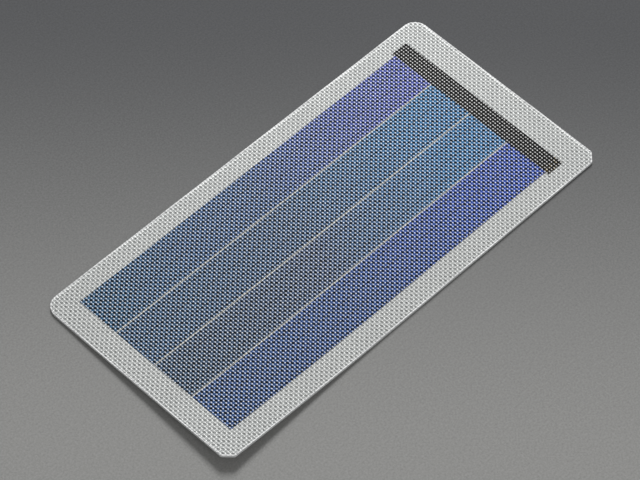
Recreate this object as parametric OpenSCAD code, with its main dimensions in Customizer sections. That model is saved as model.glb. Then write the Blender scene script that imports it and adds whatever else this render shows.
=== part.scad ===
// Flexible solar sheet: four thin-film cells on steel foil in series, laminated between
// an embossed clear film and a white back sheet. Millimetres, +Z up, front face up.
// The origin is the middle of the back face. +X points to the end with the contacts.
// The laminate bends across its middle. Each long layer is two halves that meet there,
// one on each side of the bend axis, with the room that the bend needs between them.

/* [Sheet] */
// Length of the sheet
sheet_len = 197; // [190:1:230]
// Width of the sheet
sheet_wid = 97; // [96:1:130]
// Radius of the two rounded corners on the +Y side
round_r = 6; // [2:0.5:9]
// Length along X of the two snipped corners on the -Y side
snip_x = 3.6; // [1:0.2:6]
// Length along Y of the two snipped corners on the -Y side
snip_y = 3.6; // [1:0.2:6]

/* [Layers] */
// Thickness of the white back sheet
back_t = 0.3; // [0.2:0.05:0.4]
// Thickness of the bonding layer under the cells
rear_t = 0.28; // [0.26:0.02:0.4]
// Thickness of a cell's steel foil
foil_t = 0.13; // [0.1:0.01:0.16]
// Thickness of the bonding layer over the cells
front_t = 0.43; // [0.4:0.01:0.6]
// Thickness of the clear front film
film_t = 0.06; // [0.04:0.01:0.1]

/* [Cells] */
// Clear border at the free end
border_free = 10.7; // [8:0.1:12]
// Clear border along the +Y side
border_side = 7.8; // [7:0.1:9]
// Gap between neighbouring cells
cell_gap = 0.4; // [0.3:0.1:0.6]
// Diameter of the fine wires that lie along the cells
wire_d = 0.14; // [0.08:0.01:0.14]

/* [Contact end] */
// Clear border from the black strip to the end of the sheet
border_contact = 11.8; // [10:0.1:14]
// Width of the black strip that covers the contacts
mask_w = 7.7; // [7.5:0.1:8.5]
// How far the black strip runs past the cells on each side
mask_over = 1.3; // [0.5:0.1:2]
// Thickness of the black strip
mask_t = 0.06; // [0.04:0.01:0.1]
// Thickness of the insulating tape on the cells' ends
tape_t = 0.05; // [0.03:0.01:0.06]
// Thickness of the contact ribbons
ribbon_t = 0.1; // [0.06:0.01:0.1]
// Length of a solder pad across the sheet
pad_len = 9; // [6:0.5:10]
// Width of a solder pad along the sheet
pad_wid = 5; // [4:0.5:5.5]

/* [Bend] */
// Largest bend either way, in degrees
bend_max = 40; // [10:5:50]
// Gap between the two halves at the bend axis
bend_gap = 0.2; // [0.1:0.05:0.3]

/* [Hidden] */
cell_count = 4;
// Width of each cell from the +Y side down. The cells are laid by hand, so they differ a little.
cell_wid = [19.6, 19.9, 19.1, 20];
// Distance of each wire from its own cell's +Y edge
wire_at = [[5.9, 10.9, 16.9], [2.2, 8, 13.4, 18.7], [4.5, 9.5, 15.2], [2.9, 8.3, 13.7, 19.1]];
wire_inset = 0.8;     // bare cell beyond the wires at the free end
groove_play = 0.04;   // room round a wire in the bonding layer

$fn = 48;
free = -1;
contact = 1;
half_names = [[free, "free_half"], [contact, "contact_half"]];

// Heights from the back face up
z_rear = back_t;
z_foil = z_rear + rear_t;
z_face = z_foil + foil_t;
z_busbar = z_face + tape_t;
z_mask = z_busbar + ribbon_t;
z_film = z_face + front_t;
sheet_t = z_film + film_t;
z_bend = sheet_t / 2;

// Places along X
x_cell = -sheet_len / 2 + border_free;
x_mask_end = sheet_len / 2 - border_contact;
x_mask = x_mask_end - mask_w;
x_busbar = x_mask + 1.2;       // the wires end here, against the busbar
busbar_w = 2.8;
x_tab = x_busbar + busbar_w;   // the contact tabs start here, against the busbar
x_drop = x_mask_end - 0.5;     // outer face of the folds that go down past the cells
x_cell_end = x_drop - 1.6;
x_tape_end = x_cell_end + 0.4;
x_under = x_busbar + 0.8;      // the tabs under a cell start here
x_pad = x_mask + 4.3;          // middle of the solder pads
tab_w = 3;                     // width of a tab across the sheet
tab_inset = 1;                 // from the cell's edge to its tab
busbar_inset = 0.8;

// Places along Y. Cell k is 0 to 3 from the +Y side down.
function before(k) = k == 0 ? 0 : before(k - 1) + cell_wid[k - 1] + cell_gap;
function y_top(k) = sheet_wid / 2 - border_side - before(k);
function y_low(k) = y_top(k) - cell_wid[k];
function y_mid(k) = (y_top(k) + y_low(k)) / 2;
last = cell_count - 1;

// Room that a layer from z0 to z1 needs on its own side of the bend axis
function relief(z0, z1) =
    bend_gap / 2 + tan(bend_max / 2) * max(abs(z0 - z_bend), abs(z1 - z_bend));

// A box from one corner to the other
module box(low, high) {
    translate(low) cube(high - low);
}

// The sheet's outline: two corners rounded, two snipped
module outline() {
    hx = sheet_len / 2;
    hy = sheet_wid / 2;
    polygon([
        [-hx, -hy + snip_y], [-hx + snip_x, -hy], [hx - snip_x, -hy], [hx, -hy + snip_y],
        [hx, hy - round_r], [hx - round_r, hy], [-hx + round_r, hy], [-hx, hy - round_r]
    ]);
    for (side = [-1, 1])
        translate([side * (hx - round_r), hy - round_r]) circle(r = round_r);
}

// One half of a layer of the sheet, from z0 to z1
module layer(half, z0, z1) {
    gap = relief(z0, z1);
    intersection() {
        translate([0, 0, z0]) linear_extrude(z1 - z0) outline();
        if (half == free)
            box([-sheet_len, -sheet_wid, -1], [-gap, sheet_wid, sheet_t + 1]);
        else
            box([gap, -sheet_wid, -1], [sheet_len, sheet_wid, sheet_t + 1]);
    }
}

module rounded_plate(len_x, len_y, r, z0, z1) {
    translate([0, 0, z0]) linear_extrude(z1 - z0) {
        square([len_x - 2 * r, len_y], center = true);
        square([len_x, len_y - 2 * r], center = true);
        for (sx = [-1, 1], sy = [-1, 1])
            translate([sx * (len_x / 2 - r), sy * (len_y / 2 - r)]) circle(r = r);
    }
}

module cell_body(k, half) {
    gap = relief(z_foil, z_face);
    x0 = half == free ? x_cell : gap;
    x1 = half == free ? -gap : x_cell_end;
    box([x0, y_low(k), z_foil], [x1, y_top(k), z_face]);
}

// The stretch along X that the wires have on one half
function wires_from(half) = half == free ? x_cell + wire_inset : relief(z_face, z_face + wire_d);
function wires_to(half) = half == free ? -relief(z_face, z_face + wire_d) : x_busbar;

module wires_body(k, half) {
    for (at = wire_at[k])
        translate([wires_from(half), y_top(k) - at, z_face + wire_d / 2])
            rotate([0, 90, 0]) cylinder(d = wire_d, h = wires_to(half) - wires_from(half));
}

// The groove of each wire, as the bonding layer leaves it. It runs out of the half's cut edge.
module wire_grooves(k, half) {
    w = wire_d / 2 + groove_play;
    x0 = half == free ? wires_from(half) - groove_play : 0;
    x1 = half == free ? 0 : x_busbar;
    for (at = wire_at[k])
        box([x0, y_top(k) - at - w, z_face - 0.01], [x1, y_top(k) - at + w, z_face + wire_d]);
}

module tape_body() {
    over = mask_over - 0.5;
    box([x_busbar, y_low(last) - over, z_face], [x_tape_end, y_top(0) + over, z_busbar]);
}

module busbar_body(k) {
    box([x_busbar, y_low(k) + busbar_inset, z_busbar],
        [x_tab, y_top(k) - busbar_inset, z_mask]);
}

// Ribbon from cell k's busbar, down past the cells' ends, and under cell k + 1
module link_body(k) {
    a = y_low(k) + tab_inset;
    b = y_top(k + 1) - tab_inset;
    box([x_tab, a, z_busbar], [x_drop, a + tab_w, z_mask]);
    box([x_drop - ribbon_t, a, z_foil - ribbon_t], [x_drop, a + tab_w, z_mask]);
    box([x_drop - 1, b - tab_w, z_foil - ribbon_t], [x_drop, a + tab_w, z_foil]);
    box([x_under, b - tab_w, z_foil - ribbon_t], [x_drop, b, z_foil]);
}

// Ribbon from a level down to the solder pad, folded at the outer end
module lead_body(y, x0, z_top) {
    box([x0, y - tab_w / 2, z_top - ribbon_t], [x_drop, y + tab_w / 2, z_top]);
    box([x_drop - ribbon_t, y - tab_w / 2, z_rear], [x_drop, y + tab_w / 2, z_top]);
    box([x_under, y - tab_w / 2, z_rear], [x_drop, y + tab_w / 2, z_rear + ribbon_t]);
}

module positive_lead_body() {
    lead_body(y_mid(last), x_tab, z_mask);
}

module negative_lead_body() {
    lead_body(y_mid(0), x_under, z_foil);
}

module mask_body() {
    box([x_mask, y_low(last) - mask_over, z_mask],
        [x_mask_end, y_top(0) + mask_over, z_mask + mask_t]);
}

// Everything at the contact end that lies inside the two bonding layers
module contact_parts() {
    tape_body();
    for (k = [0:last]) busbar_body(k);
    for (k = [0:last - 1]) link_body(k);
    positive_lead_body();
    negative_lead_body();
    mask_body();
}

module pad_place(k) {
    translate([x_pad, y_mid(k), 0]) children();
}

module back_sheet(half) {
    color("whitesmoke") difference() {
        layer(half, 0, z_rear);
        if (half == contact)
            for (k = [0, last])
                pad_place(k) rounded_plate(pad_wid + 1, pad_len + 1, 1, -1, z_rear + 1);
    }
}

module rear_bonding_layer(half) {
    color([0.86, 0.87, 0.86]) difference() {
        layer(half, z_rear, z_foil);
        if (half == contact) contact_parts();
    }
}

module cell(k, half) {
    color([0.2, 0.27, 0.5]) cell_body(k, half);
}

module cell_wires(k, half) {
    color([0.3, 0.3, 0.32]) wires_body(k, half);
}

module busbar(k) {
    color("peru") busbar_body(k);
}

module series_link(k) {
    color("peru") link_body(k);
}

module positive_lead() {
    color("peru") positive_lead_body();
}

module negative_lead() {
    color("peru") negative_lead_body();
}

// A tinned pad, set a little below the back face in its window
module solder_pad(k) {
    color("silver") pad_place(k) rounded_plate(pad_wid, pad_len, 0.6, 0.06, z_rear);
}

module insulating_tape() {
    color([0.8, 0.55, 0.15]) tape_body();
}

module black_mask_strip() {
    color([0.12, 0.12, 0.12]) mask_body();
}

module front_bonding_layer(half) {
    color([0.88, 0.9, 0.9]) difference() {
        layer(half, z_foil, z_film);
        for (k = [0:last]) {
            cell_body(k, half);
            wire_grooves(k, half);
        }
        if (half == contact) contact_parts();
    }
}

module front_film(half) {
    color([0.82, 0.85, 0.88]) layer(half, z_film, sheet_t);
}

for (h = half_names) {
    back_sheet(h[0]);
    rear_bonding_layer(h[0]);
    front_bonding_layer(h[0]);
    front_film(h[0]);
    for (k = [0:last]) {
        cell(k, h[0]);
        cell_wires(k, h[0]);
    }
}
for (k = [0:last])
    busbar(k);
for (k = [0:last - 1])
    series_link(k);
positive_lead();
negative_lead();
solder_pad(last);  // positive_solder_pad
solder_pad(0);  // negative_solder_pad
insulating_tape();
black_mask_strip();
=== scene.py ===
import math
import bmesh
import bpy
import numpy as np
from mathutils import Matrix, Vector


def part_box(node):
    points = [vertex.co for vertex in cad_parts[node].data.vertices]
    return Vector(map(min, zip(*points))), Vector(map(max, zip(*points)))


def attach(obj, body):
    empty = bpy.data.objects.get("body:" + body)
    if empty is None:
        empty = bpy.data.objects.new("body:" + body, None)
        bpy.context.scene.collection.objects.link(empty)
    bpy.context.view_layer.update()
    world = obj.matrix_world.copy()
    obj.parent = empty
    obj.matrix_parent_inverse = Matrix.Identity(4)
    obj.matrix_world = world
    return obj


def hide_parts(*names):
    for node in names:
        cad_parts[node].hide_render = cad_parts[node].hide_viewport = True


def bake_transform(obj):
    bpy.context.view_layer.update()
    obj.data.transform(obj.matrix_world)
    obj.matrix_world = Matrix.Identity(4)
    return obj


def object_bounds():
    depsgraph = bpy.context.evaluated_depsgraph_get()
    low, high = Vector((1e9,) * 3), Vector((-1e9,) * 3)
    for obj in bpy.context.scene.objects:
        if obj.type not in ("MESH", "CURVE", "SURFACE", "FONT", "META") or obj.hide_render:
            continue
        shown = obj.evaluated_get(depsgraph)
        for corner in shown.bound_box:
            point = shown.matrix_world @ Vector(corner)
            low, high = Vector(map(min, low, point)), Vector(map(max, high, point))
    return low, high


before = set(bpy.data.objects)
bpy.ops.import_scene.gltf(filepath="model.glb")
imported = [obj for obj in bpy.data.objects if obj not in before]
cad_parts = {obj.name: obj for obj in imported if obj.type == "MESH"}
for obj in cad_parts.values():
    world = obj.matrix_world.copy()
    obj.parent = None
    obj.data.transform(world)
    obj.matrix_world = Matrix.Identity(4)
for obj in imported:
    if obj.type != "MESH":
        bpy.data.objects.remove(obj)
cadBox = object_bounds()
scene = bpy.context.scene

mm = 0.001
cellNumbers = (1, 2, 3, 4)
contactBody = "contact_half"
freeBody = "free_half"
sheetLow, sheetHigh = cadBox
sheetLength = sheetHigh.x - sheetLow.x
sheetWidth = sheetHigh.y - sheetLow.y
sharpAngle = math.radians(50)     # edges sharper than this stay hard
cutTolerance = 1e-7               # m

# How the sheet lies and how it bends
lie = {
    "cornerLift": 3.3,     # mm, at the raised corner of the free end
    "liftReach": 92.0,     # mm from the free end to where the lift starts
    "liftAcross": 1.3,     # how the lift grows from the +Y side to the -Y side
    "bendFrom": 0.03,      # m along X, the bend's end on the contact half
    "bendTo": -0.09,       # m along X, the bend's end on the free half
}

# The plain-weave relief pressed into the front
weave = {
    "pitch": 1.26,         # mm from thread to thread
    "turn": -1.9,          # degrees, to the sheet's length
    "depth": 0.16,         # mm, from a dimple to the film between the threads
    "stepsPerThread": 2,
    "lean": 0.4,           # how far each dimple leans to a diagonal
    "unevenness": 0.3,     # how unlike the dimples are
    "unevenSize": 0.7,     # patches of like dimples in a millimetre
    "tall": (0.04, 0.13),  # where the shade of a tall dimple starts and is full
    "wide": (0.08, 0.4),
    "roundShare": 0.35,    # of a dimple's depth that is round, the rest is oval
    "ribShift": 0.03,      # in threads
    "ribSharpness": 3.0,
    # Painted glints along a rib: shift in threads, side, where a glint starts and is full, and how
    # bright it is
    "paintedGlints": ((0.3, 1.0, 0.42, 0.95, 0.5), (0.42, -1.0, 0.55, 0.95, 0.62)),
}

# The cut edge of the sheet
outline = {
    "roundRadius": 6.0,    # mm, the two corners on the +Y side
    "roundSteps": 10,
    "snip": 3.6,           # mm, the two corners on the -Y side
    "snipEase": 0.3,       # mm, how much the ends of a snip are eased
    "easeTurn": 0.4,       # radians, from the side to the eased face
}

# Where the camera stands, from the middle of the sheet
view = {
    "azimuth": -46.63,
    "elevation": 54.11,
    "roll": 1.77,
    "distance": 1.119,
    "lens": 168.6,
    "aim": (-0.0049, -0.0014, 0.0006),
}


def towards(azimuth, elevation):
    a, e = math.radians(azimuth), math.radians(elevation)
    return Vector((math.sin(a) * math.cos(e), -math.cos(a) * math.cos(e), math.sin(e)))


def makeCamera():
    back = towards(view["azimuth"], view["elevation"])
    right = Vector((0, 0, 1)).cross(back).normalized()
    up = back.cross(right)
    roll = math.radians(view["roll"])
    rolledRight = right * math.cos(roll) + up * math.sin(roll)
    rolledUp = up * math.cos(roll) - right * math.sin(roll)
    data = bpy.data.cameras.new("camera")
    data.lens = view["lens"]
    data.sensor_width = 36
    data.clip_start = 0.01
    camera = bpy.data.objects.new("camera", data)
    axes = Matrix((rolledRight, rolledUp, back)).transposed().to_4x4()
    camera.matrix_world = Matrix.Translation(Vector(view["aim"]) + back * view["distance"]) @ axes
    scene.collection.objects.link(camera)
    scene.camera = camera


makeCamera()
print("camera made")


# Node helpers. A value is a number, a colour or another node's output.

def plug(tree, target, value):
    if isinstance(value, bpy.types.NodeSocket):
        tree.links.new(value, target)
    else:
        target.default_value = value


def maths(tree, operation, *values, clamp=False):
    node = tree.nodes.new("ShaderNodeMath")
    node.operation = operation
    node.use_clamp = clamp
    for socket, value in zip(node.inputs, values):
        plug(tree, socket, value)
    return node.outputs[0]


def mixColour(tree, factor, first, second, blend="MIX"):
    node = tree.nodes.new("ShaderNodeMix")
    node.data_type = "RGBA"
    node.blend_type = blend
    plug(tree, node.inputs[0], factor)
    plug(tree, node.inputs[6], first)
    plug(tree, node.inputs[7], second)
    return node.outputs[2]


def remap(tree, value, fromLow, fromHigh, toLow=0.0, toHigh=1.0, smooth=False):
    node = tree.nodes.new("ShaderNodeMapRange")
    node.interpolation_type = "SMOOTHSTEP" if smooth else "LINEAR"
    names = ("Value", "From Min", "From Max", "To Min", "To Max")
    for name, number in zip(names, (value, fromLow, fromHigh, toLow, toHigh)):
        plug(tree, node.inputs[name], number)
    return node.outputs[0]


def noise(tree, place, scale, detail=3.0, rough=0.55, distortion=0.0):
    node = tree.nodes.new("ShaderNodeTexNoise")
    plug(tree, node.inputs["Vector"], place)
    plug(tree, node.inputs["Scale"], scale)
    node.inputs["Detail"].default_value = detail
    node.inputs["Roughness"].default_value = rough
    node.inputs["Distortion"].default_value = distortion
    return node.outputs[0]


def ramp(tree, value, stops):
    node = tree.nodes.new("ShaderNodeValToRGB")
    plug(tree, node.inputs[0], value)
    elements = node.color_ramp.elements
    while len(elements) < len(stops):
        elements.new(0.5)
    for element, (position, colour) in zip(elements, stops):
        element.position = position
        element.color = colour
    return node.outputs[0]


def bumpFrom(tree, height, strength, distance):
    node = tree.nodes.new("ShaderNodeBump")
    plug(tree, node.inputs["Height"], height)
    node.inputs["Strength"].default_value = strength
    node.inputs["Distance"].default_value = distance
    return node.outputs[0]


def flatPlace(tree):
    node = tree.nodes.new("ShaderNodeAttribute")   # the flat sheet's own X and Y, in mm
    node.attribute_name = "flatPlace"
    return node.outputs["Vector"]


def objectPlace(tree):
    return tree.nodes.new("ShaderNodeTexCoord").outputs["Object"]


def axesOf(tree, place):
    node = tree.nodes.new("ShaderNodeSeparateXYZ")
    plug(tree, node.inputs[0], place)
    return node.outputs


def shade(red, green, blue):
    def one(c):
        c = c / 255
        return c / 12.92 if c <= 0.04045 else ((c + 0.055) / 1.055) ** 2.4
    return (one(red), one(green), one(blue), 1.0)


def newMaterial(name):
    material = bpy.data.materials.new(name)
    material.use_nodes = True
    material.node_tree.nodes.clear()
    return material, material.node_tree


def principled(tree, **values):
    node = tree.nodes.new("ShaderNodeBsdfPrincipled")
    for name, value in values.items():
        plug(tree, node.inputs[name.replace("_", " ")], value)
    return node


def outputTo(tree, shader):
    node = tree.nodes.new("ShaderNodeOutputMaterial")
    tree.links.new(shader, node.inputs["Surface"])


def clearShader(tree, colour=(1.0, 1.0, 1.0, 1.0)):
    node = tree.nodes.new("ShaderNodeBsdfTransparent")
    plug(tree, node.inputs["Color"], colour)
    return node.outputs[0]


def mixShaders(tree, share, first, second):
    node = tree.nodes.new("ShaderNodeMixShader")
    for socket, value in zip(node.inputs, (share, first, second)):
        plug(tree, socket, value)
    return node.outputs[0]


# A whitened edge scatters the light on instead of stopping it, so it leaves no hard shadow inside.
def glowing(tree, shader, share=0.85):
    shadowRay = tree.nodes.new("ShaderNodeLightPath").outputs["Is Shadow Ray"]
    return mixShaders(tree, shadowRay, shader, clearShader(tree, (share, share, share, 1.0)))


def newGroup(name, inputs, outputs):
    group = bpy.data.node_groups.new(name, "ShaderNodeTree")
    for kind, label, default in inputs:
        socket = group.interface.new_socket(name=label, in_out="INPUT", socket_type=kind)
        if default is not None:
            socket.default_value = default
    for kind, label in outputs:
        group.interface.new_socket(name=label, in_out="OUTPUT", socket_type=kind)
    return group, group.nodes.new("NodeGroupInput"), group.nodes.new("NodeGroupOutput")


def useGroup(tree, group, **values):
    node = tree.nodes.new("ShaderNodeGroup")
    node.node_tree = group
    for name, value in values.items():
        plug(tree, node.inputs[name.replace("_", " ")], value)
    return node


# The pattern of the pressed weave. Every crossing is a dimple: tall where the thread along Y lay on
# top, wide where the thread along X did. The ribs are the film that stood between the threads, and the
# painted glints are highlights painted on the slopes of the ribs that face the lamp.
def makeThreadGroup():
    group, inside, out = newGroup(
        "pressedThreads",
        [("NodeSocketVector", "Place", None), ("NodeSocketFloat", "Pitch", weave["pitch"]),
         ("NodeSocketFloat", "Turn", math.radians(weave["turn"])),
         ("NodeSocketFloat", "Unevenness", weave["unevenness"]),
         ("NodeSocketFloat", "Lean", weave["lean"])],
        [("NodeSocketFloat", "Tall"), ("NodeSocketFloat", "Wide"), ("NodeSocketFloat", "Ribs"),
         ("NodeSocketFloat", "PaintedGlints"), ("NodeSocketFloat", "Height")])
    turned = group.nodes.new("ShaderNodeVectorRotate")
    turned.rotation_type = "Z_AXIS"
    plug(group, turned.inputs["Vector"], inside.outputs["Place"])
    plug(group, turned.inputs["Angle"], maths(group, "MULTIPLY", inside.outputs["Turn"], -1.0))
    phases = []
    for axis in axesOf(group, turned.outputs[0])[:2]:
        thread = maths(group, "DIVIDE", axis, inside.outputs["Pitch"])
        phases.append(maths(group, "MULTIPLY", thread, math.pi))
    across, along = phases
    waves = [maths(group, "COSINE", across), maths(group, "COSINE", along)]
    slopes = maths(group, "MULTIPLY", maths(group, "SINE", across), maths(group, "SINE", along))
    leaning = maths(group, "MULTIPLY", slopes, inside.outputs["Lean"])
    patches = noise(group, inside.outputs["Place"], weave["unevenSize"], detail=1.0)
    unlike = maths(group, "SUBTRACT", patches, 0.5)
    uneven = maths(group, "ADD", 1.0, maths(group, "MULTIPLY", unlike, inside.outputs["Unevenness"]))
    upright = maths(group, "MULTIPLY", *waves)
    crossing = maths(group, "MULTIPLY", maths(group, "SUBTRACT", upright, leaning), uneven)
    squares = [maths(group, "MULTIPLY", wave, wave) for wave in waves]
    tall = maths(group, "MULTIPLY", maths(group, "MAXIMUM", crossing, 0.0), squares[0])
    opposite = maths(group, "MULTIPLY", crossing, -1.0)
    wide = maths(group, "MULTIPLY", maths(group, "MAXIMUM", opposite, 0.0), squares[1])
    roundPart = maths(group, "MULTIPLY", maths(group, "ABSOLUTE", crossing), -weave["roundShare"])
    ovalPart = maths(group, "MULTIPLY", maths(group, "ADD", tall, wide), weave["roundShare"] - 1)
    plug(group, out.inputs["Tall"], remap(group, tall, *weave["tall"], smooth=True))
    plug(group, out.inputs["Wide"], remap(group, wide, *weave["wide"], smooth=True))
    plug(group, out.inputs["Ribs"], maths(group, "SUBTRACT", 1.0, squares[0]))
    shifted = maths(group, "ADD", across, weave["ribShift"] * math.pi)
    rib = maths(group, "POWER", maths(group, "SINE", shifted), weave["ribSharpness"])
    # Painted highlights: glints on the rib slopes that face the lamp
    paintedGlints = []
    for shift, side, start, full, share in weave["paintedGlints"]:
        bow = maths(group, "COSINE", maths(group, "SUBTRACT", along, shift * math.pi))
        sided = maths(group, "MULTIPLY", uneven, side)
        paintedGlint = maths(group, "MULTIPLY", maths(group, "MULTIPLY", rib, bow), sided)
        glintStrength = remap(group, paintedGlint, start, full, smooth=True)
        paintedGlints.append(maths(group, "MULTIPLY", glintStrength, share))
    plug(group, out.inputs["PaintedGlints"], maths(group, "MAXIMUM", *paintedGlints))
    plug(group, out.inputs["Height"], maths(group, "ADD", roundPart, ovalPart))
    return group


# Handling marks: faint smears, and specks of dust
handlingLook = {
    "smearSize": 0.05,         # smears in a millimetre
    "smears": (0.35, 0.7),     # where a smear starts and is full
    "dustSize": 1.6,           # specks in a millimetre
    "dustAmount": 0.5,
    "dustStart": 0.86,         # where a speck starts with an amount of 0
    "dustSpread": 0.12,        # how much sooner it starts with an amount of 1
    "dustFull": 0.9,
}


def makeHandlingGroup():
    group, inside, out = newGroup(
        "handlingMarks",
        [("NodeSocketVector", "Place", None),
         ("NodeSocketFloat", "Smear Size", handlingLook["smearSize"]),
         ("NodeSocketFloat", "Dust Size", handlingLook["dustSize"]),
         ("NodeSocketFloat", "Dust Amount", handlingLook["dustAmount"])],
        [("NodeSocketFloat", "Smears"), ("NodeSocketFloat", "Dust")])
    smears = noise(group, inside.outputs["Place"], inside.outputs["Smear Size"],
                   detail=5.0, rough=0.6, distortion=0.4)
    specks = noise(group, inside.outputs["Place"], inside.outputs["Dust Size"], detail=2.0, rough=0.5)
    sooner = maths(group, "MULTIPLY", inside.outputs["Dust Amount"], handlingLook["dustSpread"])
    edge = maths(group, "SUBTRACT", handlingLook["dustStart"], sooner)
    plug(group, out.inputs["Smears"], remap(group, smears, *handlingLook["smears"], smooth=True))
    plug(group, out.inputs["Dust"], remap(group, specks, edge, handlingLook["dustFull"]))
    return group


threads = makeThreadGroup()
handling = makeHandlingGroup()


def spanOf(nodes):
    boxes = [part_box(node) for node in nodes]
    lowest = [min(b[0][i] for b in boxes) for i in range(3)]
    highest = [max(b[1][i] for b in boxes) for i in range(3)]
    return Vector(lowest), Vector(highest)


def halvesOf(part):
    return [f"{part}_{body}" for body in (contactBody, freeBody)]


def cellNodes():
    return [node for number in cellNumbers for node in halvesOf(f"cell_{number}")]


# Materials

filmLook = {
    # Painted shade: these tints darken what shows through the dimples
    "tallTint": 0.37,          # how much light a tall dimple lets through
    "wideTint": 0.55,
    "clean": (0.99, 0.99, 0.99, 1),      # what passes between the dimples
    "smeared": (0.97, 0.97, 0.97, 1),
    "haze": 0.001,             # share that scatters everywhere
    # The colour of the painted glints
    "paintedGlint": shade(250, 249, 246),
    "dust": shade(205, 200, 190),
    "roughness": 0.28,
    "smearRoughness": 0.1,     # added in a smear
    "bump": 0.6,
}


def makeFilmFront():
    material, tree = newMaterial("embossedFilm")
    place = flatPlace(tree)
    pattern = useGroup(tree, threads, Place=place)
    marks = useGroup(tree, handling, Place=place)
    through = mixColour(tree, marks.outputs["Smears"], filmLook["clean"], filmLook["smeared"])
    # Painted shade in the dimples
    for part in ("tall", "wide"):
        tint = (filmLook[part + "Tint"],) * 3 + (1,)
        through = mixColour(tree, pattern.outputs[part.capitalize()], through, tint)
    added = maths(tree, "MULTIPLY", marks.outputs["Smears"], filmLook["smearRoughness"])
    rough = maths(tree, "ADD", filmLook["roughness"], added)
    paintedGlint = mixColour(tree, marks.outputs["Dust"], filmLook["paintedGlint"], filmLook["dust"])
    bump = bumpFrom(tree, pattern.outputs["Height"], filmLook["bump"], weave["depth"] * mm)
    body = principled(tree, Base_Color=paintedGlint, Roughness=rough, Normal=bump)
    # The white body shows as the painted glints, and elsewhere only as a faint haze
    share = maths(tree, "MAXIMUM", pattern.outputs["PaintedGlints"], filmLook["haze"])
    outputTo(tree, mixShaders(tree, share, clearShader(tree, through), body.outputs[0]))
    return material


clearLook = {
    "filmUnderside": (0.985, 0.99, 0.99, 1),
    "bonding": (0.98, 0.985, 0.985, 1),
    "cloudSize": 0.08,         # clouds in a millimetre
    "clearest": 1.01,          # how much more passes in the clearest spots
}


def makeClear(name, tint):
    material, tree = newMaterial(name)
    cloudy = noise(tree, flatPlace(tree), clearLook["cloudSize"])
    full = tuple(min(1.0, c * clearLook["clearest"]) for c in tint[:3]) + (1,)
    outputTo(tree, clearShader(tree, mixColour(tree, cloudy, tint, full)))
    return material


edgeLook = {
    "base": shade(196, 198, 198),
    "darkest": 0.88,           # how bright the darker patches are
    "cloudSize": 0.6,          # patches in a millimetre
    "roughness": 0.45,
    "grainSize": 6.0,          # grains in a millimetre
    "grain": 0.15,
    "grainHeight": 0.0001,     # m
}


def makeCutEdge():
    material, tree = newMaterial("cutEdge")
    place = flatPlace(tree)
    cloudy = noise(tree, place, edgeLook["cloudSize"], detail=4.0)
    dark = tuple(c * edgeLook["darkest"] for c in edgeLook["base"][:3]) + (1,)
    grains = noise(tree, place, edgeLook["grainSize"])
    shader = principled(tree, Base_Color=mixColour(tree, cloudy, dark, edgeLook["base"]),
                        Roughness=edgeLook["roughness"],
                        Normal=bumpFrom(tree, grains, edgeLook["grain"], edgeLook["grainHeight"]))
    outputTo(tree, glowing(tree, shader.outputs[0]))
    return material


# Darkens a colour with painted shade where the dimples are and lightens the ribs with a painted
# highlight, by its own share for the tall, the wide and the ribs.
def dimpled(tree, pattern, base, dark, tallShare, wideShare, ribPaintedHighlight=None, ribShare=0.0):
    def part(name, share, under, over):
        return mixColour(tree, maths(tree, "MULTIPLY", pattern.outputs[name], share), under, over)
    if ribPaintedHighlight:
        base = part("Ribs", ribShare, base, ribPaintedHighlight)
    return part("Tall", tallShare, part("Wide", wideShare, base, dark), dark)


# 1 in the rectangle that the cells fill, where the bonding shows in the gaps and has yellowed a little.
def amongCells(tree, place):
    axes = axesOf(tree, place)
    cellsLow, cellsHigh = spanOf(cellNodes())
    inside = 1.0
    for axis in (0, 1):
        middle = (cellsLow[axis] + cellsHigh[axis]) / 2 / mm
        reach = (cellsHigh[axis] - cellsLow[axis]) / 2 / mm - 1
        away = maths(tree, "ABSOLUTE", maths(tree, "SUBTRACT", axes[axis], middle))
        inside = maths(tree, "MULTIPLY", maths(tree, "LESS_THAN", away, reach), inside)
    return inside


whiteLook = {
    "bonding": shade(240, 240, 238),
    # Painted shade: the greys of the dimples
    "bondingShares": (0.3, 0.15),        # how grey its tall and wide dimples are
    "rim": shade(208, 209, 208),
    "rimShares": (0.7, 0.5),
    "dimple": shade(120, 121, 124),
    "roughness": 0.5,
    "cloudSize": 0.04,                   # patches in a millimetre
    "dull": 0.93,                        # how bright the duller patches are
    "cream": (1.0, 0.97, 0.91),          # tint among the cells
    "dust": shade(170, 165, 155),
    "dustShare": 0.4,
}


# White film, with the weave of the front painted on it as soft grey painted shade in the dimples.
def makeWhite(name, base, shares, lit=False):
    material, tree = newMaterial(name)
    place = flatPlace(tree)
    pattern = useGroup(tree, threads, Place=place)
    marks = useGroup(tree, handling, Place=place)
    cloudy = noise(tree, place, whiteLook["cloudSize"], detail=4.0)
    dull = tuple(c * whiteLook["dull"] for c in base[:3]) + (1,)
    white = mixColour(tree, cloudy, dull, base)
    cream = tuple(c * tint for c, tint in zip(base[:3], whiteLook["cream"])) + (1,)
    white = mixColour(tree, amongCells(tree, place), white, cream)
    dusty = maths(tree, "MULTIPLY", marks.outputs["Dust"], whiteLook["dustShare"])
    white = mixColour(tree, dusty, white, whiteLook["dust"])
    # Painted shade in the dimples
    white = dimpled(tree, pattern, white, whiteLook["dimple"], *shares)
    shader = principled(tree, Base_Color=white, Roughness=whiteLook["roughness"])
    outputTo(tree, glowing(tree, shader.outputs[0]) if lit else shader.outputs[0])
    return material


backLook = {
    "clean": shade(226, 226, 222),
    "smeared": shade(216, 216, 211),
    "dust": shade(150, 146, 138),
    "dustAmount": 0.8,
    "dustShare": 0.5,
    "roughness": (0.32, 0.5),     # where it is clean and where it is smeared
    "grainSize": 3.0,             # grains in a millimetre
    "grain": 0.12,
    "grainHeight": 0.0002,        # m
}


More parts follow.
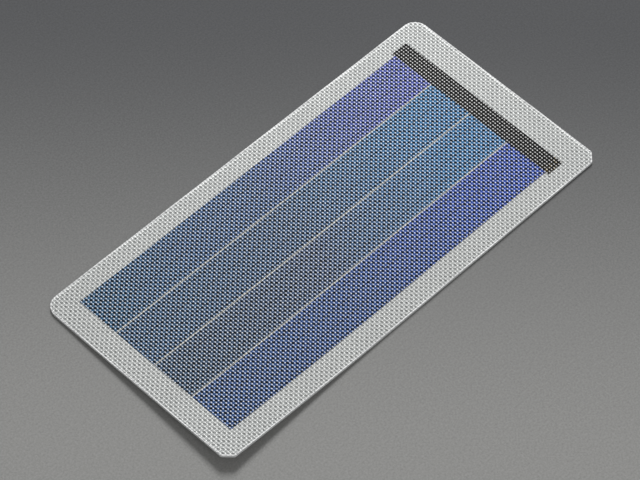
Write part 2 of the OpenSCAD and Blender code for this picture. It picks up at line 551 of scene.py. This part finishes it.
def makeBackWhite():
    material, tree = newMaterial("whiteBackFilm")
    place = flatPlace(tree)
    marks = useGroup(tree, handling, Place=place, Dust_Amount=backLook["dustAmount"])
    base = mixColour(tree, marks.outputs["Smears"], backLook["clean"], backLook["smeared"])
    dusty = maths(tree, "MULTIPLY", marks.outputs["Dust"], backLook["dustShare"])
    base = mixColour(tree, dusty, base, backLook["dust"])
    rough = remap(tree, marks.outputs["Smears"], 0, 1, *backLook["roughness"])
    grains = noise(tree, place, backLook["grainSize"], detail=4.0)
    bump = bumpFrom(tree, grains, backLook["grain"], backLook["grainHeight"])
    shader = principled(tree, Base_Color=base, Roughness=rough, Normal=bump)
    outputTo(tree, shader.outputs[0])
    return material


cellLook = {
    "metal": 0.0,
    "roughness": 0.5,
    "specular": 0.1,
    # The dark is painted shade in the dimples, and the rib colour a painted reflection on the ribs
    "dark": shade(2, 3, 8),
    "bareEdge": 0.1,          # mm along each long edge without coating
    "bare": shade(255, 250, 240),
    "ribPaintedHighlight": shade(185, 212, 252),
    "ribShare": 0.3,
    "tallShare": 0.97,
    "wideShare": 0.2,
    "wanderSize": 0.025,      # waves in a millimetre of the colour's change
    "wander": 0.25,
    "patchSize": 0.3,         # duller patches in a millimetre
    "patches": (0.3, 0.7),    # where a patch starts and is full
    "patch": shade(170, 170, 180),
    "patchShare": 0.2,
    "stops": (0.08, 0.45, 0.85),
    # Colour along each cell, from the free end to the contact end: the coating's own blue, and its
    # change along the cell is a painted reflection of the lamps in the coating.
    "along": {
        1: (shade(56, 118, 162), shade(70, 116, 182), shade(94, 106, 236)),
        2: (shade(60, 112, 158), shade(76, 118, 168), shade(46, 158, 230)),
        3: (shade(62, 98, 134), shade(92, 114, 158), shade(44, 156, 228)),
        4: (shade(38, 96, 174), shade(50, 102, 194), shade(26, 90, 236)),
    },
}


def makeCellFront(number):
    material, tree = newMaterial(f"cellCoating{number}")
    place = flatPlace(tree)
    pattern = useGroup(tree, threads, Place=place)
    x, y = axesOf(tree, place)[:2]
    waves = maths(tree, "SUBTRACT", noise(tree, place, cellLook["wanderSize"]), 0.5)
    length = sheetLength / mm
    fromEnd = maths(tree, "DIVIDE", maths(tree, "ADD", x, length / 2), length)
    along = maths(tree, "ADD", fromEnd, maths(tree, "MULTIPLY", waves, cellLook["wander"]))
    # The change of colour along the cell is a painted reflection
    base = ramp(tree, along, list(zip(cellLook["stops"], cellLook["along"][number])))
    patches = noise(tree, place, cellLook["patchSize"], detail=3.0)
    duller = mixColour(tree, 1.0, base, cellLook["patch"], "MULTIPLY")
    patchy = remap(tree, patches, *cellLook["patches"], 0.0, cellLook["patchShare"])
    base = mixColour(tree, patchy, base, duller)
    # Painted shade in the dimples and painted reflection on the ribs
    base = dimpled(tree, pattern, base, cellLook["dark"], cellLook["tallShare"], cellLook["wideShare"],
                   cellLook["ribPaintedHighlight"], cellLook["ribShare"])
    lowest, highest = spanOf(halvesOf(f"cell_{number}"))
    fromMiddle = maths(tree, "SUBTRACT", y, (lowest.y + highest.y) / 2 / mm)
    reach = (highest.y - lowest.y) / 2 / mm - cellLook["bareEdge"]
    bare = maths(tree, "GREATER_THAN", maths(tree, "ABSOLUTE", fromMiddle), reach)
    base = mixColour(tree, bare, base, cellLook["bare"])
    shader = principled(tree, Base_Color=base, Metallic=cellLook["metal"],
                        Roughness=cellLook["roughness"])
    shader.inputs["Specular IOR Level"].default_value = cellLook["specular"]
    outputTo(tree, shader.outputs[0])
    return material


metalLook = {
    # Colour, roughness, and patches in a millimetre, or in a metre for copper
    "foilSteel": (shade(150, 150, 152), 0.35, 2.0),
    "coatedWire": (shade(60, 60, 64), 0.45, 4.0),
    "ribbonCopper": (shade(212, 146, 110), 0.28, 900.0),
    "tinnedSolder": (shade(205, 205, 200), 0.22, 0.8),
    "patches": (0.2, 0.8),     # where a patch starts and is full
    "dull": 0.7,               # how bright the duller patches are
    "smoothest": 0.75,         # shares of the roughness
    "roughest": 1.3,
    "bump": 0.1,
    "bumpHeight": 0.00005,     # m
}


def makeMetal(name, place):
    base, roughness, patchSize = metalLook[name]
    material, tree = newMaterial(name)
    patches = noise(tree, place(tree), patchSize, detail=4.0)
    dull = tuple(c * metalLook["dull"] for c in base[:3]) + (1,)
    rough = remap(tree, patches, *metalLook["patches"], roughness * metalLook["smoothest"],
                  roughness * metalLook["roughest"])
    shader = principled(tree, Base_Color=mixColour(tree, patches, dull, base), Metallic=1.0,
                        Roughness=rough,
                        Normal=bumpFrom(tree, patches, metalLook["bump"], metalLook["bumpHeight"]))
    outputTo(tree, shader.outputs[0])
    return material


maskLook = {
    "black": (shade(20, 20, 22), shade(34, 34, 34)),
    "cloudSize": 0.3,               # patches in a millimetre
    # The dark is painted shade in the dimples, and the rib colour a painted highlight on the ribs
    "dark": shade(2, 2, 2),
    "tallShare": 0.97,
    "wideShare": 0.7,
    "ribPaintedHighlight": shade(80, 80, 82),
    "ribShare": 0.15,
    "roughness": 0.5,
    "specular": 0.1,
    "amber": shade(206, 168, 40),   # the tape, where the strip is worn through
    "wornTo": 5.0,                  # mm from the strip's -Y end
    "wornFull": 1.5,
    "speckSize": 1.1,               # specks in a millimetre
    "specks": (0.56, 0.62),         # where a speck starts and is full
}


def makeMask():
    material, tree = newMaterial("blackStrip")
    place = objectPlace(tree)
    inMm = tree.nodes.new("ShaderNodeVectorMath")
    inMm.operation = "SCALE"
    plug(tree, inMm.inputs[0], place)
    inMm.inputs["Scale"].default_value = 1 / mm
    pattern = useGroup(tree, threads, Place=inMm.outputs[0])
    cloudy = noise(tree, inMm.outputs[0], maskLook["cloudSize"], detail=4.0)
    base = mixColour(tree, cloudy, *maskLook["black"])
    # Painted shade in the dimples and painted highlight on the ribs
    base = dimpled(tree, pattern, base, maskLook["dark"], maskLook["tallShare"], maskLook["wideShare"],
                   maskLook["ribPaintedHighlight"], maskLook["ribShare"])
    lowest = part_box("black_mask_strip")[0].y / mm
    atEnd = remap(tree, axesOf(tree, inMm.outputs[0])[1], lowest + maskLook["wornTo"],
                  lowest + maskLook["wornFull"], smooth=True)
    spots = noise(tree, inMm.outputs[0], maskLook["speckSize"], detail=2.0)
    specks = remap(tree, spots, *maskLook["specks"], smooth=True)
    worn = maths(tree, "MULTIPLY", maths(tree, "MULTIPLY", specks, atEnd), pattern.outputs["Ribs"])
    base = mixColour(tree, worn, base, maskLook["amber"])
    shader = principled(tree, Base_Color=base, Roughness=maskLook["roughness"])
    shader.inputs["Specular IOR Level"].default_value = maskLook["specular"]
    outputTo(tree, shader.outputs[0])
    return material


tapeLook = {
    "amber": (shade(168, 108, 20), shade(206, 150, 40)),
    "cloudSize": 300.0,           # patches in a metre
    "roughness": 0.25,
}


def makeTape():
    material, tree = newMaterial("amberTape")
    cloudy = noise(tree, objectPlace(tree), tapeLook["cloudSize"])
    base = mixColour(tree, cloudy, *tapeLook["amber"])
    shader = principled(tree, Base_Color=base, Roughness=tapeLook["roughness"])
    outputTo(tree, shader.outputs[0])
    return material


filmFront = makeFilmFront()
clearUnder = makeClear("filmUnderside", clearLook["filmUnderside"])
bondingClear = makeClear("bondingClear", clearLook["bonding"])
frostedEdge = makeCutEdge()
milky = makeWhite("milkyBonding", whiteLook["bonding"], whiteLook["bondingShares"])
whitenedRim = makeWhite("whitenedRim", whiteLook["rim"], whiteLook["rimShares"], lit=True)
backWhite = makeBackWhite()
steel = makeMetal("foilSteel", flatPlace)
wireDark = makeMetal("coatedWire", flatPlace)
copper = makeMetal("ribbonCopper", objectPlace)
tin = makeMetal("tinnedSolder", flatPlace)
blackMask = makeMask()
amber = makeTape()
print("materials made")


# Meshes

def outlinePlanes():
    hx, hy = sheetLength / 2, sheetWidth / 2
    r = outline["roundRadius"] * mm
    snip = outline["snip"] * mm
    planes = [((hx, 0), (1, 0)), ((-hx, 0), (-1, 0)), ((0, hy), (0, 1)), ((0, -hy), (0, -1))]
    for side in (-1, 1):
        for step in range(1, outline["roundSteps"]):
            a = math.pi / 2 * step / outline["roundSteps"]
            normal = (side * math.cos(a), math.sin(a))
            planes.append(((side * (hx - r) + normal[0] * r, hy - r + normal[1] * r), normal))
        planes.append(((side * hx, -hy + snip), (side, -1)))
        ease = outline["snipEase"] * mm
        more, less = math.cos(outline["easeTurn"]), math.sin(outline["easeTurn"])
        planes.append(((side * hx, -hy + snip + ease), (side * more, -less)))
        planes.append(((side * (hx - snip - ease), -hy), (side * less, -more)))
    return [(Vector((*point, 0)), Vector((*normal, 0)).normalized()) for point, normal in planes]


def cut(bm, planes, remove=True):
    for point, normal in planes:
        bmesh.ops.bisect_plane(bm, geom=bm.verts[:] + bm.edges[:] + bm.faces[:], dist=cutTolerance,
                               plane_co=point, plane_no=normal, clear_outer=remove)


def liftOf(points):
    reach = lie["liftReach"] * mm
    along = np.clip((-sheetLength / 2 + reach - points[:, 0]) / reach, 0, 1)
    across = np.clip((sheetWidth / 2 - points[:, 1]) / sheetWidth, 0, 1)
    return lie["cornerLift"] * mm * along ** 2 * across ** lie["liftAcross"]


def pointsOf(mesh):
    flat = np.empty(len(mesh.vertices) * 3)
    mesh.vertices.foreach_get("co", flat)
    return flat.reshape(-1, 3)


# Keeps each point's place on the flat sheet for the materials, then lifts the corner.
def layDown(mesh):
    points = pointsOf(mesh)
    kept = mesh.attributes.new("flatPlace", "FLOAT_VECTOR", "POINT")
    kept.data.foreach_set("vector", (points / mm).ravel())
    points[:, 2] += liftOf(points)
    mesh.vertices.foreach_set("co", points.ravel())
    mesh.update()


def meshFrom(name, bm):
    mesh = bpy.data.meshes.new(name)
    bm.to_mesh(mesh)
    bm.free()
    return mesh


def asObject(name, mesh):
    piece = bpy.data.objects.new(name, mesh)
    scene.collection.objects.link(piece)
    return piece


# A piece that crosses the bend keeps its place in the world, and the others ride on one.
def settle(piece, replaced, bends=True, body=contactBody):
    layDown(piece.data)
    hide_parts(*replaced)
    if bends:
        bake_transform(piece)
    else:
        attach(piece, body)
    return piece


# A closed slab with a grid fine enough to bend. Face material 0 is the flats, 1 the cut edge.
def slabMesh(name, lowest, highest, step, planes=(), underside=None):
    bm = bmesh.new()
    size = highest - lowest
    middle = (highest + lowest) / 2
    segments = [max(1, round(size[i] / step)) for i in (0, 1)]
    scaled = Matrix.Diagonal((size.x, size.y, 1, 1))
    place = Matrix.Translation((middle.x, middle.y, highest.z)) @ scaled
    bmesh.ops.create_grid(bm, x_segments=segments[0], y_segments=segments[1], size=0.5, matrix=place)
    cut(bm, planes)
    rims = [e for e in bm.edges if e.is_boundary]
    lower = bmesh.ops.duplicate(bm, geom=bm.verts[:] + bm.edges[:] + bm.faces[:])
    lowerVerts = [g for g in lower["geom"] if isinstance(g, bmesh.types.BMVert)]
    lowerFaces = [g for g in lower["geom"] if isinstance(g, bmesh.types.BMFace)]
    for v in lowerVerts:
        v.co.z = lowest.z if underside is None else underside(v.co.x, v.co.y)
    bmesh.ops.reverse_faces(bm, faces=lowerFaces)
    partner = lower["vert_map"]
    for edge in rims:
        a, b = edge.verts
        wall = bm.faces.new((a, b, partner[b], partner[a]))
        wall.material_index = 1
    bmesh.ops.recalc_face_normals(bm, faces=bm.faces[:])
    return meshFrom(name, bm)


# Geometry Nodes helpers

def newGeometryTree(name, inputs):
    tree = bpy.data.node_groups.new(name, "GeometryNodeTree")
    tree.interface.new_socket(name="Geometry", in_out="INPUT", socket_type="NodeSocketGeometry")
    for kind, label in inputs:
        tree.interface.new_socket(name=label, in_out="INPUT", socket_type=kind)
    tree.interface.new_socket(name="Geometry", in_out="OUTPUT", socket_type="NodeSocketGeometry")
    return tree, tree.nodes.new("NodeGroupInput").outputs, tree.nodes.new("NodeGroupOutput")


# Ends a tree: gives the geometry its material and makes it real.
def endTree(tree, geometry, material, out):
    realized = tree.nodes.new("GeometryNodeRealizeInstances")
    tree.links.new(geometry, realized.inputs[0])
    finish = tree.nodes.new("GeometryNodeSetMaterial")
    tree.links.new(realized.outputs[0], finish.inputs["Geometry"])
    tree.links.new(material, finish.inputs["Material"])
    tree.links.new(finish.outputs[0], out.inputs[0])


# Runs a tree on a mesh and gives the result as a plain mesh.
def grown(name, mesh, tree, **values):
    seed = asObject(name, mesh)
    modifier = seed.modifiers.new(tree.name, "NODES")
    modifier.node_group = tree
    for item in tree.interface.items_tree:
        label = item.name.replace(" ", "_")
        if item.item_type == "SOCKET" and item.in_out == "INPUT" and label in values:
            modifier[item.identifier] = values[label]
    ready = seed.evaluated_get(bpy.context.evaluated_depsgraph_get())
    result = bpy.data.meshes.new_from_object(ready)
    seed.modifiers.clear()
    bpy.data.objects.remove(seed)
    result.name = name
    return result


# A grid with a dimple at every crossing of the threads. The material's bump gives each its oval.
def makeReliefTree():
    tree, given, out = newGeometryTree("pressedRelief", [
        ("NodeSocketFloat", "Size X"), ("NodeSocketFloat", "Size Y"),
        ("NodeSocketInt", "Vertices X"), ("NodeSocketInt", "Vertices Y"),
        ("NodeSocketFloat", "Pitch"), ("NodeSocketFloat", "Turn"), ("NodeSocketFloat", "Depth"),
        ("NodeSocketMaterial", "Material")])
    grid = tree.nodes.new("GeometryNodeMeshGrid")
    for label in ("Size X", "Size Y", "Vertices X", "Vertices Y"):
        tree.links.new(given[label], grid.inputs[label])
    waves = []
    for axis in axesOf(tree, tree.nodes.new("GeometryNodeInputPosition").outputs[0])[:2]:
        thread = maths(tree, "DIVIDE", axis, given["Pitch"])
        waves.append(maths(tree, "COSINE", maths(tree, "MULTIPLY", thread, math.pi)))
    dimples = maths(tree, "ABSOLUTE", maths(tree, "MULTIPLY", *waves))
    rise = maths(tree, "MULTIPLY", maths(tree, "SUBTRACT", 0.5, dimples), given["Depth"])
    offset = tree.nodes.new("ShaderNodeCombineXYZ")
    tree.links.new(rise, offset.inputs["Z"])
    raised = tree.nodes.new("GeometryNodeSetPosition")
    tree.links.new(grid.outputs["Mesh"], raised.inputs["Geometry"])
    tree.links.new(offset.outputs[0], raised.inputs["Offset"])
    spin = tree.nodes.new("ShaderNodeCombineXYZ")
    tree.links.new(given["Turn"], spin.inputs["Z"])
    turned = tree.nodes.new("GeometryNodeTransform")
    tree.links.new(raised.outputs[0], turned.inputs["Geometry"])
    tree.links.new(spin.outputs[0], turned.inputs["Rotation"])
    endTree(tree, turned.outputs[0], given["Material"], out)
    return tree


# Round wires along the edges of a mesh
def makeWireTree():
    tree, given, out = newGeometryTree("roundWires", [
        ("NodeSocketFloat", "Radius"), ("NodeSocketInt", "Sides"), ("NodeSocketMaterial", "Material")])
    paths = tree.nodes.new("GeometryNodeMeshToCurve")
    tree.links.new(given["Geometry"], paths.inputs[0])
    profile = tree.nodes.new("GeometryNodeCurvePrimitiveCircle")
    tree.links.new(given["Radius"], profile.inputs["Radius"])
    tree.links.new(given["Sides"], profile.inputs["Resolution"])
    tubes = tree.nodes.new("GeometryNodeCurveToMesh")
    tree.links.new(paths.outputs[0], tubes.inputs["Curve"])
    tree.links.new(profile.outputs[0], tubes.inputs["Profile Curve"])
    tubes.inputs["Fill Caps"].default_value = True
    endTree(tree, tubes.outputs[0], given["Material"], out)
    return tree


reliefTree = makeReliefTree()
wireTree = makeWireTree()
edgeCut = outlinePlanes()


# The front film

film = {
    "middle": 1.12,            # mm, the height of the relief's middle
    "under": 1.015,            # mm, its flat underside
    "whitened": 0.5,           # mm of the film that the cut has whitened at its edge
    "underStepX": 4.0,         # mm, fine enough to bend
    "underStepY": 12.0,
    # Which face material is which
    "front": 0,
    "edge": 1,
    "clear": 2,
    "rim": 3,
}


# The whitened band along the edge. Lines are cut first, so that it ends cleanly.
def markRim(bm):
    band = film["whitened"] * mm
    cut(bm, [(point - normal * band, normal) for point, normal in edgeCut], remove=False)
    places = np.array([face.calc_center_median() for face in bm.faces])
    outside = np.zeros(len(places), dtype=bool)
    for point, normal in edgeCut:
        outside |= (places - np.array(point)) @ np.array(normal) > -band
    for face, isOutside in zip(bm.faces, outside):
        face.material_index = film["rim"] if isOutside else film["front"]


# The walls of the cut edge and the flat underside
def closeBelow(bm):
    rim = [e for e in bm.edges if e.is_boundary]
    lower = {}
    for v in dict.fromkeys(v for e in rim for v in e.verts):
        lower[v] = bm.verts.new((v.co.x, v.co.y, film["under"] * mm))
    below = []
    for edge in rim:
        loop = edge.link_loops[0]
        a, b = loop.vert, loop.link_loop_next.vert
        wall = bm.faces.new((b, a, lower[a], lower[b]))
        wall.material_index = film["edge"]
        below.append(bm.edges.get((lower[a], lower[b])))
    for face in bmesh.ops.contextual_create(bm, geom=below)["faces"]:
        face.material_index = film["clear"]


# Divides the underside, so that it can bend
def divideBelow(bm, normal, length, step):
    count = int(length / (step * mm))
    for k in range(1, count):
        faces = [f for f in bm.faces if f.material_index == film["clear"]]
        edges = dict.fromkeys(e for f in faces for e in f.edges)
        verts = dict.fromkeys(v for f in faces for v in f.verts)
        bmesh.ops.bisect_plane(bm, geom=faces + list(edges) + list(verts), dist=cutTolerance / 10,
                               plane_co=normal * (length * k / count - length / 2), plane_no=normal)


def makeFrontFilm():
    pitch = weave["pitch"] * mm
    step = pitch / weave["stepsPerThread"]
    across = math.radians(abs(weave["turn"]))
    spans = (sheetLength + sheetWidth * math.sin(across),
             sheetWidth + sheetLength * math.sin(across))
    half = [math.ceil(span / 2 / step) + 1 for span in spans]    # steps each side of the middle
    mesh = grown("frontFilm", bpy.data.meshes.new("empty"), reliefTree,
                 Size_X=2 * half[0] * step, Size_Y=2 * half[1] * step,
                 Vertices_X=2 * half[0] + 1, Vertices_Y=2 * half[1] + 1,
                 Pitch=pitch, Turn=math.radians(weave["turn"]), Depth=weave["depth"] * mm,
                 Material=filmFront)
    mesh.materials.clear()
    for material in (filmFront, frostedEdge, clearUnder, whitenedRim):
        mesh.materials.append(material)
    bm = bmesh.new()
    bm.from_mesh(mesh)
    bmesh.ops.translate(bm, vec=(0, 0, film["middle"] * mm), verts=bm.verts)
    cut(bm, edgeCut)
    markRim(bm)
    closeBelow(bm)
    divideBelow(bm, Vector((1, 0, 0)), sheetLength, film["underStepX"])
    divideBelow(bm, Vector((0, 1, 0)), sheetWidth, film["underStepY"])
    bmesh.ops.triangulate(bm, faces=[f for f in bm.faces if len(f.verts) > 4])
    bmesh.ops.recalc_face_normals(bm, faces=bm.faces[:])
    bm.to_mesh(mesh)
    bm.free()
    mesh.shade_smooth()
    mesh.set_sharp_from_angle(angle=sharpAngle)
    return settle(asObject("frontFilm", mesh), halvesOf("front_film"))


makeFrontFilm()
print("front film made")


# The long flat layers

layers = {
    "step": 3.0,                   # mm, fine enough to bend
    "frontBondingTop": 1.01,
    "frontBondingOverCells": 0.722,
    "frontBondingAtBorder": 0.6,
    "rearBondingTop": 0.575,
    "windowMargin": 0.5,           # mm round each solder pad
    "windowCorner": 1.0,
}


def finishSlab(mesh, flats, edge):
    mesh.materials.append(flats)
    mesh.materials.append(edge)
    mesh.shade_smooth()
    mesh.set_sharp_from_angle(angle=sharpAngle)
    return mesh


def makeFrontBonding():
    lowest, highest = spanOf(halvesOf("front_bonding_layer"))
    cellsLow, cellsHigh = spanOf(cellNodes() + ["black_mask_strip"])
    low, high = layers["frontBondingAtBorder"] * mm, layers["frontBondingOverCells"] * mm

    def underside(x, y):
        inside = cellsLow.x < x < cellsHigh.x and cellsLow.y < y < cellsHigh.y
        return high if inside else low

    mesh = slabMesh("frontBondingLayer", Vector((lowest.x, lowest.y, low)),
                    Vector((highest.x, highest.y, layers["frontBondingTop"] * mm)),
                    layers["step"] * mm, edgeCut, underside)
    finishSlab(mesh, bondingClear, frostedEdge)
    return settle(asObject("frontBondingLayer", mesh),
                  halvesOf("front_bonding_layer"))


def makeRearBonding():
    lowest, highest = spanOf(halvesOf("rear_bonding_layer"))
    highest.z = layers["rearBondingTop"] * mm
    mesh = slabMesh("rearBondingLayer", lowest, highest, layers["step"] * mm, edgeCut)
    finishSlab(mesh, milky, frostedEdge)
    return settle(asObject("rearBondingLayer", mesh),
                  halvesOf("rear_bonding_layer"))


# A rounded block, to cut a window with or to shape a pad from
def roundedBlock(name, lowest, highest, radius, steps=6):
    bm = bmesh.new()
    rim = []
    for sx, sy in ((1, 1), (-1, 1), (-1, -1), (1, -1)):
        middle = Vector(((highest.x - radius) if sx > 0 else (lowest.x + radius),
                         (highest.y - radius) if sy > 0 else (lowest.y + radius), 0))
        first = math.atan2(sy, sx) - math.pi / 4
        for k in range(steps + 1):
            a = first + math.pi / 2 * k / steps
            rim.append(middle + Vector((math.cos(a), math.sin(a), 0)) * radius)
    rings = [[bm.verts.new((p.x, p.y, z)) for p in rim] for z in (lowest.z, highest.z)]
    for k in range(len(rim)):
        n = (k + 1) % len(rim)
        bm.faces.new((rings[0][k], rings[0][n], rings[1][n], rings[1][k]))
    bm.faces.new(list(reversed(rings[0])))
    bm.faces.new(rings[1])
    return meshFrom(name, bm)


def makeBackSheet():
    lowest, highest = spanOf(halvesOf("back_sheet"))
    mesh = slabMesh("backSheet", lowest, highest, layers["step"] * mm, edgeCut)
    finishSlab(mesh, backWhite, frostedEdge)
    piece = asObject("backSheet", mesh)
    margin = layers["windowMargin"] * mm
    for pad in ("positive_solder_pad", "negative_solder_pad"):
        padLow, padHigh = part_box(pad)
        window = roundedBlock("window", Vector((padLow.x - margin, padLow.y - margin, -mm)),
                              Vector((padHigh.x + margin, padHigh.y + margin, mm)),
                              layers["windowCorner"] * mm)
        cutter = asObject("window", window)
        boolean = piece.modifiers.new("window", "BOOLEAN")
        boolean.operation = "DIFFERENCE"
        boolean.object = cutter
        ready = piece.evaluated_get(bpy.context.evaluated_depsgraph_get())
        piece.data = bpy.data.meshes.new_from_object(ready)
        piece.modifiers.clear()
        bpy.data.objects.remove(cutter)
    return settle(piece, halvesOf("back_sheet"))


def makeCell(number):
    lowest, highest = spanOf(halvesOf(f"cell_{number}"))
    mesh = slabMesh(f"cell{number}", lowest, highest, layers["step"] * mm)
    finishSlab(mesh, makeCellFront(number), steel)
    return settle(asObject(f"cell{number}", mesh), halvesOf(f"cell_{number}"))


makeBackSheet()
makeRearBonding()
for number in cellNumbers:
    makeCell(number)
makeFrontBonding()
print("layers made")


# The fine wires that gather the current along each cell

gridWires = {
    "fromEdge": {                  # mm from the cell's +Y edge
        1: (5.9, 10.9, 16.9),
        2: (2.2, 8.0, 13.4, 18.7),
        3: (4.5, 9.5, 15.2),
        4: (2.9, 8.3, 13.7, 19.1),
    },
    "diameter": 0.14,
    "step": 4.0,
    "sides": 8,
}


def makeWires(number):
    nodes = halvesOf(f"cell_{number}_wires")
    lowest, highest = spanOf(nodes)
    cellTop = spanOf(halvesOf(f"cell_{number}"))[1].y
    count = round((highest.x - lowest.x) / (gridWires["step"] * mm))
    height = (lowest.z + highest.z) / 2
    bm = bmesh.new()
    for distance in gridWires["fromEdge"][number]:
        y = cellTop - distance * mm
        line = [bm.verts.new((lowest.x + (highest.x - lowest.x) * k / count, y, height))
                for k in range(count + 1)]
        for a, b in zip(line, line[1:]):
            bm.edges.new((a, b))
    mesh = grown(f"cell{number}Wires", meshFrom("paths", bm), wireTree,
                 Radius=gridWires["diameter"] * mm / 2, Sides=gridWires["sides"], Material=wireDark)
    mesh.shade_smooth()
    return settle(asObject(f"cell{number}Wires", mesh), nodes)


for number in cellNumbers:
    makeWires(number)
print("wires made")


# The two tinned solder pads on the back

pads = {
    "recess": 0.05,            # mm from the back face to the top of the solder
    "dome": 0.1,               # mm that the solder stands over its edge
    "domeFall": 3,             # how flat the dome is in its middle
    "corner": 0.8,
    "rings": 7,
}


def makePad(name, node):
    lowest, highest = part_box(node)
    middle = (lowest + highest) / 2
    bm = bmesh.new()
    flat = roundedBlock("outline", lowest, highest, pads["corner"] * mm)
    rim = [Vector(v.co) for v in flat.vertices[:len(flat.vertices) // 2]]
    edgeZ = (pads["recess"] + pads["dome"]) * mm
    rings = []
    for ring in range(pads["rings"]):
        share = 1 - ring / pads["rings"]
        z = edgeZ - pads["dome"] * mm * (1 - share ** pads["domeFall"])
        inset = [(middle.x + (p.x - middle.x) * share, middle.y + (p.y - middle.y) * share) for p in rim]
        rings.append([bm.verts.new((x, y, z)) for x, y in inset])
    rings.insert(0, [bm.verts.new((p.x, p.y, highest.z)) for p in rim])
    peak = bm.verts.new((middle.x, middle.y, pads["recess"] * mm))
    count = len(rim)
    for outer, inner in zip(rings, rings[1:]):
        for k in range(count):
            bm.faces.new((outer[k], outer[(k + 1) % count], inner[(k + 1) % count], inner[k]))
    for k in range(count):
        bm.faces.new((rings[-1][k], rings[-1][(k + 1) % count], peak))
    bm.faces.new(rings[0])
    bmesh.ops.recalc_face_normals(bm, faces=bm.faces[:])
    mesh = meshFrom(name, bm)
    mesh.materials.append(tin)
    mesh.shade_smooth()
    mesh.set_sharp_from_angle(angle=sharpAngle)
    return settle(asObject(name, mesh), [node], bends=False)


makePad("positivePad", "positive_solder_pad")
makePad("negativePad", "negative_solder_pad")
print("solder pads made")


# The small pieces under the black strip keep their own shapes

kept = {
    "copper": [f"busbar_{k}" for k in cellNumbers]
              + ["series_link_1_to_2", "series_link_2_to_3", "series_link_3_to_4",
                 "positive_lead", "negative_lead"],
    "tape": ["insulating_tape"],
    "mask": ["black_mask_strip"],
}


def paint(names, material):
    for name in names:
        piece = bpy.data.objects[name]
        if not piece.material_slots:
            piece.data.materials.append(material)
        for each in piece.material_slots:
            each.material = material


paint(kept["copper"], copper)
paint(kept["tape"], amber)
paint(kept["mask"], blackMask)


# The studio

studio = {
    "floor": 3.0,                  # m
    "floorDrop": 0.05,             # mm that it lies under the sheet
    # Painted shade: the floor is painted lighter near the camera and darker away from it
    "floorNear": shade(150, 150, 148),     # under the camera
    "floorFar": shade(80, 81, 83),
    "paintedShadeAlong": (0.73, 0.69, 0),  # the way in which the floor darkens
    "paintedShadeReach": 0.12,             # m each side of the middle
    "floorRoughness": 0.8,
    "floorSpecular": 0.2,
    "floorGrain": shade(190, 190, 190),
    "grainSize": 1300.0,           # grains in a metre
    "bumpSize": 1400.0,
    "bump": 0.2,
    "bumpHeight": 0.0002,          # m
    "world": (0.55, 0.55, 0.55, 1.0),
    "worldStrength": 0.35,
    "keyAzimuth": 133.0,
    "keyElevation": 38.0,
    "keyDistance": 1.5,
    "keySize": 0.5,
    "keyPower": 30.0,
    "fillAzimuth": -30.0,
    "fillElevation": 35.0,
    "fillSize": 1.5,
    "fillPower": 11.0,
}


def makeFloor():
    bm = bmesh.new()
    bmesh.ops.create_grid(bm, x_segments=1, y_segments=1, size=studio["floor"] / 2)
    bmesh.ops.translate(bm, vec=(0, 0, -studio["floorDrop"] * mm), verts=bm.verts)
    floor = asObject("floor", meshFrom("floor", bm))
    material, tree = newMaterial("floorCard")
    place = objectPlace(tree)
    away = tree.nodes.new("ShaderNodeVectorMath")
    away.operation = "DOT_PRODUCT"
    plug(tree, away.inputs[0], place)
    away.inputs[1].default_value = studio["paintedShadeAlong"]
    # Painted shade across the floor
    paintedShade = remap(tree, away.outputs["Value"], -studio["paintedShadeReach"], studio["paintedShadeReach"], smooth=True)
    base = mixColour(tree, paintedShade, studio["floorNear"], studio["floorFar"])
    grain = noise(tree, place, studio["grainSize"], detail=3.0)
    base = mixColour(tree, grain, base, mixColour(tree, 1.0, base, studio["floorGrain"], "MULTIPLY"))
    bumps = noise(tree, place, studio["bumpSize"])
    shader = principled(tree, Base_Color=base, Roughness=studio["floorRoughness"],
                        Normal=bumpFrom(tree, bumps, studio["bump"], studio["bumpHeight"]))
    shader.inputs["Specular IOR Level"].default_value = studio["floorSpecular"]
    behind = tree.nodes.new("ShaderNodeNewGeometry").outputs["Backfacing"]
    # Seen from below the floor is open, to show the back.
    outputTo(tree, mixShaders(tree, behind, shader.outputs[0], clearShader(tree)))
    floor.data.materials.append(material)


def makeSoftbox(name, azimuth, elevation, distance, size, power):
    direction = towards(azimuth, elevation)
    data = bpy.data.lights.new(name, "AREA")
    data.size = size
    data.energy = power
    lamp = bpy.data.objects.new(name, data)
    turned = direction.to_track_quat("Z", "Y").to_matrix().to_4x4()
    lamp.matrix_world = Matrix.Translation(direction * distance) @ turned
    scene.collection.objects.link(lamp)


def makeStudio():
    makeFloor()
    makeSoftbox("key", studio["keyAzimuth"], studio["keyElevation"], studio["keyDistance"],
                studio["keySize"], studio["keyPower"])
    makeSoftbox("fill", studio["fillAzimuth"], studio["fillElevation"], studio["keyDistance"],
                studio["fillSize"], studio["fillPower"])
    world = bpy.data.worlds.new("studio")
    world.use_nodes = True
    background = world.node_tree.nodes["Background"]
    background.inputs["Color"].default_value = studio["world"]
    background.inputs["Strength"].default_value = studio["worldStrength"]
    scene.world = world
    scene.view_settings.view_transform = "Standard"


makeStudio()
print("studio made")
